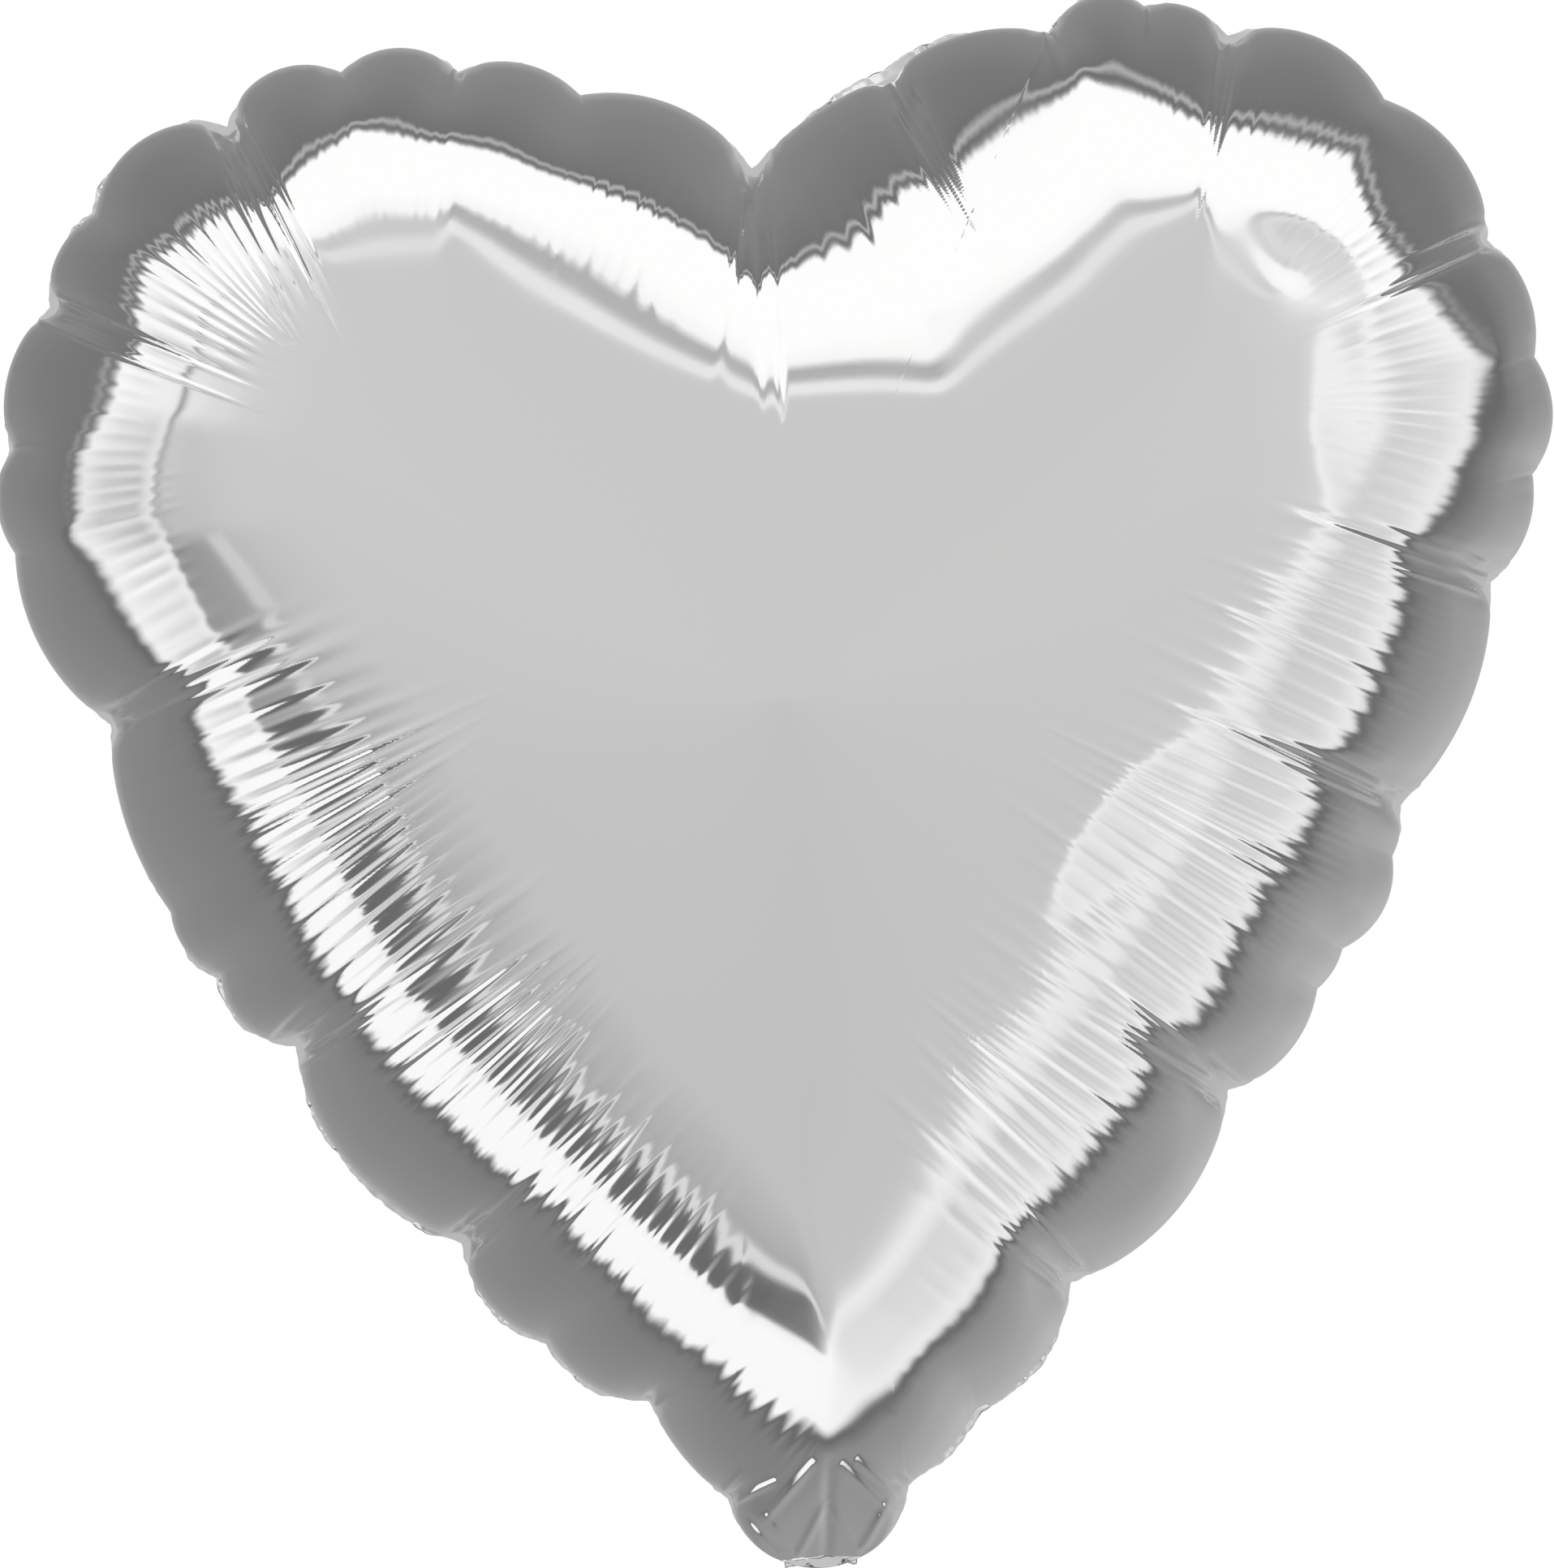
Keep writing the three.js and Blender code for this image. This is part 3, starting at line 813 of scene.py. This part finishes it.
def seam_noise(seam, rng, reach):
    """Random unevenness round the seam, of the given reach and a usual size of 1."""
    noise = softened(rng.normal(size=(SPOKES, 1)), seam.length, reach)[:, 0]
    return noise / noise.std()


def seam_flange(seam, material):
    """The crinkled heat seal that holds the two films together, from between them out to the rim."""
    rng = np.random.default_rng(5)
    swell = rim_swell(seam)
    slow, fast = seam_noise(seam, rng, 0.0030), seam_noise(seam, rng, 0.0008)
    place = seam.rim[:, 2]
    shown = sum(
        smooth(place, low, low + 0.2) * (1 - smooth(place, high - 0.2, high)) for low, high in SHOWING
    )
    reach_out = np.minimum(FLANGE, RIM_TUCK + swell) + (SHOWN_WIDTH + 0.0003 * slow) * shown + 0.00015 * fast
    share = np.linspace(0, 1, 15)
    span = -SEAL_BEHIND + share[None, :] * (reach_out + SEAL_BEHIND)[:, None]
    inset = (RIM_TUCK + swell)[:, None] - span
    place = seam.rim[:, None, :2] - inset[:, :, None] * seam.outward[:, None, :]
    free = np.clip(span / 0.003, 0, 1)
    crumple = 0.00022 + 0.0003 * shown[:, None]
    out = free * crumple * (slow[:, None] + 0.8 * fast[:, None] * free)
    from_neck = np.abs(seam.apart(np.arange(SPOKES) * seam.step, seam.run_at(NECK_PLACE)))
    sealed = from_neck > NECK_OPEN
    first = np.flatnonzero(sealed & ~np.roll(sealed, 1))[0]
    kept = np.roll(np.arange(SPOKES), -first)[:sealed.sum()]
    faces = [
        np.stack([place[kept, :, 0], out[kept] + side * SEAL_HALF_THICKNESS, place[kept, :, 1]], axis=-1)
        for side in (1, -1)
    ]
    return strip_of(np.stack(faces, axis=1), material, "seam_flange")


# -------------------- materials

def set_inputs(node, **values):
    for name, value in values.items():
        node.inputs[name.replace("_", " ")].default_value = value
    return node


def fine_surface(material, scale, depth, roughness, spread):
    """Fine unevenness of a film: a shallow bump, and a roughness that varies from place to place."""
    nodes, links = material.node_tree.nodes, material.node_tree.links
    shader = nodes["Principled BSDF"]
    place = nodes.new("ShaderNodeTexCoord")
    grain = set_inputs(nodes.new("ShaderNodeTexNoise"), Scale=scale, Detail=3)
    bump = set_inputs(nodes.new("ShaderNodeBump"), Strength=1, Distance=depth)
    haze = set_inputs(nodes.new("ShaderNodeTexNoise"), Scale=scale / 12, Detail=4)
    vary = set_inputs(nodes.new("ShaderNodeMapRange"), From_Min=0.3, From_Max=0.7,
                      To_Min=roughness - spread, To_Max=roughness + spread)
    links.new(place.outputs["Object"], grain.inputs["Vector"])
    links.new(place.outputs["Object"], haze.inputs["Vector"])
    links.new(grain.outputs["Fac"], bump.inputs["Height"])
    links.new(bump.outputs["Normal"], shader.inputs["Normal"])
    links.new(haze.outputs["Fac"], vary.inputs["Value"])
    links.new(vary.outputs["Result"], shader.inputs["Roughness"])


def new_material(name, **values):
    material = bpy.data.materials.new(name)
    material.use_nodes = True
    set_inputs(material.node_tree.nodes["Principled BSDF"], **values)
    return material


def film_material(name, colour, metallic, transmission, scale, depth, roughness, spread):
    material = new_material(name, Base_Color=(*colour, 1), Metallic=metallic,
                            Transmission_Weight=transmission, IOR=1.3)
    fine_surface(material, scale, depth, roughness, spread)
    return material


# -------------------- studio

# What the film sees round it: levels of grey at these angles, in degrees, from the direction of the camera,
# for azimuths in turns, clockwise from straight up as the camera sees it.
ANGLES = (0, 34, 42, 44, 45, 46.5, 47.5, 49.5, 50.5, 53, 55, 56.5, 60, 70, 76, 77.5, 79, 80, 81.5, 84,
          100, 140, 180)
LAMP = (1.10,) * 5
ABOVE = (0.18, 0.20, 0.24, 0.28, 0.50)
BELOW = (0.20, 0.16, 0.16, 0.16, 0.20, 1.00, 1.06, 1.06, 1.04, 0.60, 0.17, 0.16, 0.20, 0.23)
STUDIO = [
    (0.00, (0.64, 0.64, 0.64, 0.66, 0.90, 0.90, 0.50, 0.46, 1.02, 1.08, *LAMP, 0.20, 0.16, 0.55, *ABOVE)),
    (0.08, (0.64, 0.64, 0.64, 0.66, 0.84, 0.80, 0.54, 0.50, 1.02, 1.08, *LAMP, 0.20, 0.16, 0.55, *ABOVE)),
    (0.15, (0.64, 0.66, 0.69, 0.71, 0.73, 0.76, 0.80, 0.86, 1.00, 1.06, *LAMP, 0.20, 0.16, 0.50, *ABOVE)),
    (0.24, (0.64, 0.66, 0.68, 0.70, 0.72, 0.74, 0.80, 0.94, 0.95, 0.90, 0.84, 0.78, 0.72, 0.80, 0.92,
            0.80, 0.17, 0.15, 0.17, 0.21, 0.28, 0.34, 0.50)),
    (0.35, (0.62, 0.62, 0.63, 0.64, 0.65, 0.68, 0.74, 0.88, 0.90, 0.80, 0.68, 0.64, 0.66, 0.72, 0.90,
            0.80, 0.17, 0.16, 0.24, 0.30, 0.42, 0.52, 0.50)),
    (0.48, (0.60, 0.58, 0.56, 0.57, 0.60, 0.66, 0.74, 0.86, 0.95, 1.00, 1.04, 1.04, 1.04, 1.04, 1.00,
            0.70, 0.17, 0.15, 0.20, 0.28, 0.34, 0.42, 0.50)),
    (0.58, (0.61, 0.59, 0.48, 0.44, 0.78, 0.74, *BELOW, 0.27, 0.34, 0.50)),
    (0.68, (0.62, 0.60, 0.48, 0.44, 0.80, 0.76, *BELOW, 0.26, 0.30, 0.50)),
    (0.75, (0.64, 0.64, 0.62, 0.60, 0.58, 0.56, 0.55, 0.54, 0.54, 0.54, 0.54, 0.84, 0.56, 0.62, 0.84,
            0.80, 0.17, 0.16, 0.20, 0.22, 0.25, 0.28, 0.50)),
    (0.83, (0.64, 0.66, 0.70, 0.73, 0.76, 0.78, 0.78, 0.80, 0.84, 0.86, 0.30, 0.92, 0.95, 1.00, 1.06,
            0.30, 0.16, 0.45, 0.20, 0.20, 0.23, 0.26, 0.50)),
    (0.91, (0.64, 0.65, 0.66, 0.68, 0.70, 0.74, 0.80, 0.90, 1.02, 1.08, 1.10, 1.10, 1.10, 1.10, 1.08,
            0.22, 0.16, 0.55, *ABOVE)),
]


def world():
    made = bpy.data.worlds.new("studio")
    bpy.context.scene.world = made
    made.use_nodes = True
    nodes, links = made.node_tree.nodes, made.node_tree.links
    nodes.clear()

    def calc(kind, one, two=None, clamp=False):
        node = nodes.new("ShaderNodeMath")
        node.operation = kind
        node.use_clamp = clamp
        for socket, value in zip(node.inputs, (one, two)):
            if hasattr(value, "node"):
                links.new(value, socket)
            elif value is not None:
                socket.default_value = value
        return node.outputs[0]

    def levels(value, greys):
        node = nodes.new("ShaderNodeValToRGB")
        elements = node.color_ramp.elements
        elements.remove(elements[-1])
        elements[0].color = (greys[0] / 2, greys[0] / 2, greys[0] / 2, 1)
        for angle, grey in zip(ANGLES[1:], greys[1:]):
            elements.new(angle / 180).color = (grey / 2, grey / 2, grey / 2, 1)
        links.new(value, node.inputs[0])
        return node.outputs[0]

    place = nodes.new("ShaderNodeTexCoord")
    split = nodes.new("ShaderNodeSeparateXYZ")
    links.new(place.outputs["Generated"], split.inputs[0])
    x, y, z = split.outputs
    polar = calc("DIVIDE", calc("ARCCOSINE", calc("MULTIPLY", y, -1.0)), math.pi)
    azimuth = calc("FRACT", calc("ADD", calc("DIVIDE", calc("ARCTAN2", x, z), 2 * math.pi), 1.0))
    total = None
    turns = [turn for turn, _ in STUDIO]
    for number, (turn, greys) in enumerate(STUDIO):
        before = turns[number - 1] - (number == 0)
        after = turns[(number + 1) % len(turns)] + (number == len(turns) - 1)
        # Distance round from this azimuth, from -0.5 to 0.5, and a tent that falls to the neighbours.
        round_by = calc("SUBTRACT", calc("FRACT", calc("ADD", azimuth, 1.5 - turn)), 0.5)
        falling = calc("SUBTRACT", 1.0, calc("DIVIDE", round_by, after - turn), clamp=True)
        rising = calc("ADD", 1.0, calc("DIVIDE", round_by, turn - before), clamp=True)
        share = calc("MULTIPLY", falling, rising)
        part = calc("MULTIPLY", share, levels(polar, greys))
        total = part if total is None else calc("ADD", total, part)
    seen = nodes.new("ShaderNodeLightPath")
    reflected = set_inputs(nodes.new("ShaderNodeBackground"), Strength=2)
    links.new(total, reflected.inputs["Color"])
    white = set_inputs(nodes.new("ShaderNodeBackground"), Color=(1, 1, 1, 1))
    choose = nodes.new("ShaderNodeMixShader")
    plain = calc("MAXIMUM", seen.outputs["Is Camera Ray"], seen.outputs["Is Diffuse Ray"])
    links.new(plain, choose.inputs[0])
    links.new(reflected.outputs[0], choose.inputs[1])
    links.new(white.outputs[0], choose.inputs[2])
    out = nodes.new("ShaderNodeOutputWorld")
    links.new(choose.outputs[0], out.inputs[0])


def floor():
    """Pale studio floor under the balloon. Only the camera and the light see it, not the film."""
    reach, level = 1.5, -0.45
    points = [(-reach, -reach, level), (reach, -reach, level), (reach, reach, level), (-reach, reach, level)]
    material = new_material("floor", Base_Color=(0.93, 0.93, 0.93, 1), Roughness=0.9)
    made = make_mesh("floor", points, np.array([[0, 1, 2, 3]]), material)
    made.visible_glossy = False


def camera():
    data = bpy.data.cameras.new("camera")
    data.lens = 200
    data.sensor_width = 36
    data.sensor_fit = "HORIZONTAL"
    made = bpy.data.objects.new("camera", data)
    bpy.context.scene.collection.objects.link(made)
    width = 0.3996  # of the view at the seam's plane
    tilt = math.radians(3.0)
    made.location = (0.0002, -width * data.lens / data.sensor_width, 0.2008)
    made.rotation_euler = (math.pi / 2, tilt, 0)
    bpy.context.scene.camera = made
    bpy.context.scene.view_settings.view_transform = "Standard"


# -------------------- the balloon

outline = whole_outline()
membrane = Membrane(outline)
seam = Seam(outline)
grid = Grid(seam.rim[:, :2])
foil = film_material("foil", (0.90, 0.90, 0.895), 1, 0, 700, 0.0000012, 0.045, 0.02)

lift = shoulder(membrane, outline, grid)
flat_faces = grid.faces[(grid.faces < len(grid.points)).all(axis=1)]
raised = np.stack([grid.points[:, 0], lift, grid.points[:, 1]], axis=1)
base = (lift, -normals_of_mesh(raised, flat_faces))

for side, node, seed in ((-1, "front_panel", 7), (1, "rear_panel", 19)):
    points = heart_film(side, seed, base, seam, grid)
    faces = grid.faces if side < 0 else grid.faces[:, ::-1]
    piece = make_mesh(node.replace("panel", "film"), points, faces, foil)
    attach(piece, "balloon")
    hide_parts(node)

seal = film_material("seal", (0.82, 0.82, 0.815), 1, 0, 1100, 0.000010, 0.22, 0.06)
clear = film_material("valve_film", (0.86, 0.88, 0.87), 0, 0.7, 500, 0.000004, 0.16, 0.05)
print_white = film_material("release_print", (0.85, 0.82, 0.72), 0, 0, 2500, 0.000008, 0.75, 0.10)

flange = seam_flange(seam, seal)
fold = neck_fold(foil)
valve_front, valve_rear = (
    inner_film(name, clear, out, VALVE_HALF_WIDTH, WAIST - 0.001, *VALVE_HEART)
    for name, out in (("valve_front", -VALVE_IN), ("valve_rear", VALVE_IN))
)
patch = inner_film("patch", print_white, 0.0, PATCH_HALF_WIDTH, PATCH_HALF_WIDTH, *PATCH_HEIGHTS)
ply_outer, ply_inner = (
    tail_film(name, foil, out, WAIST, TAIL_HALF_WIDTH, TAIL_LENGTH, TAIL_CORNER, seed)
    for name, out, seed in (("ply_outer", PLY_OFFSET, 31), ("ply_inner", -PLY_OFFSET, 32))
)
seal_left = tail_seal("seal_left", seal, -1)
seal_right = tail_seal("seal_right", seal, 1)
tongue_outer, tongue_inner = (
    tail_film(name, clear, out, WAIST - 0.005, VALVE_HALF_WIDTH, VALVE_TAIL_LENGTH, 0.0005, seed)
    for name, out, seed in (("tongue_outer", VALVE_OUT, 33), ("tongue_inner", -VALVE_OUT, 34))
)

for piece, node, body, slot in (
    (flange, "body_seam", "balloon", "seal"),
    (valve_front, "valve_body_front", "balloon", "valve_film"),
    (valve_rear, "valve_body_rear", "balloon", "valve_film"),
    (patch, "release_patch", "balloon", "release_print"),
    (ply_outer, "tail_front_ply", "tail", "foil"),
    (ply_inner, "tail_rear_ply", "tail", "foil"),
    (seal_left, "tail_seam_left", "tail", "seal"),
    (seal_right, "tail_seam_right", "tail", "seal"),
    (tongue_outer, "valve_tail_front", "tail", "valve_film"),
    (tongue_inner, "valve_tail_rear", "tail", "valve_film"),
):
    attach(piece, body)
    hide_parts(node)
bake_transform(fold)

# Flat sizes: a heart 18 inches wide cut from two films, and a tail 40 mm wide and 80 mm long.
floor()
world()
camera()
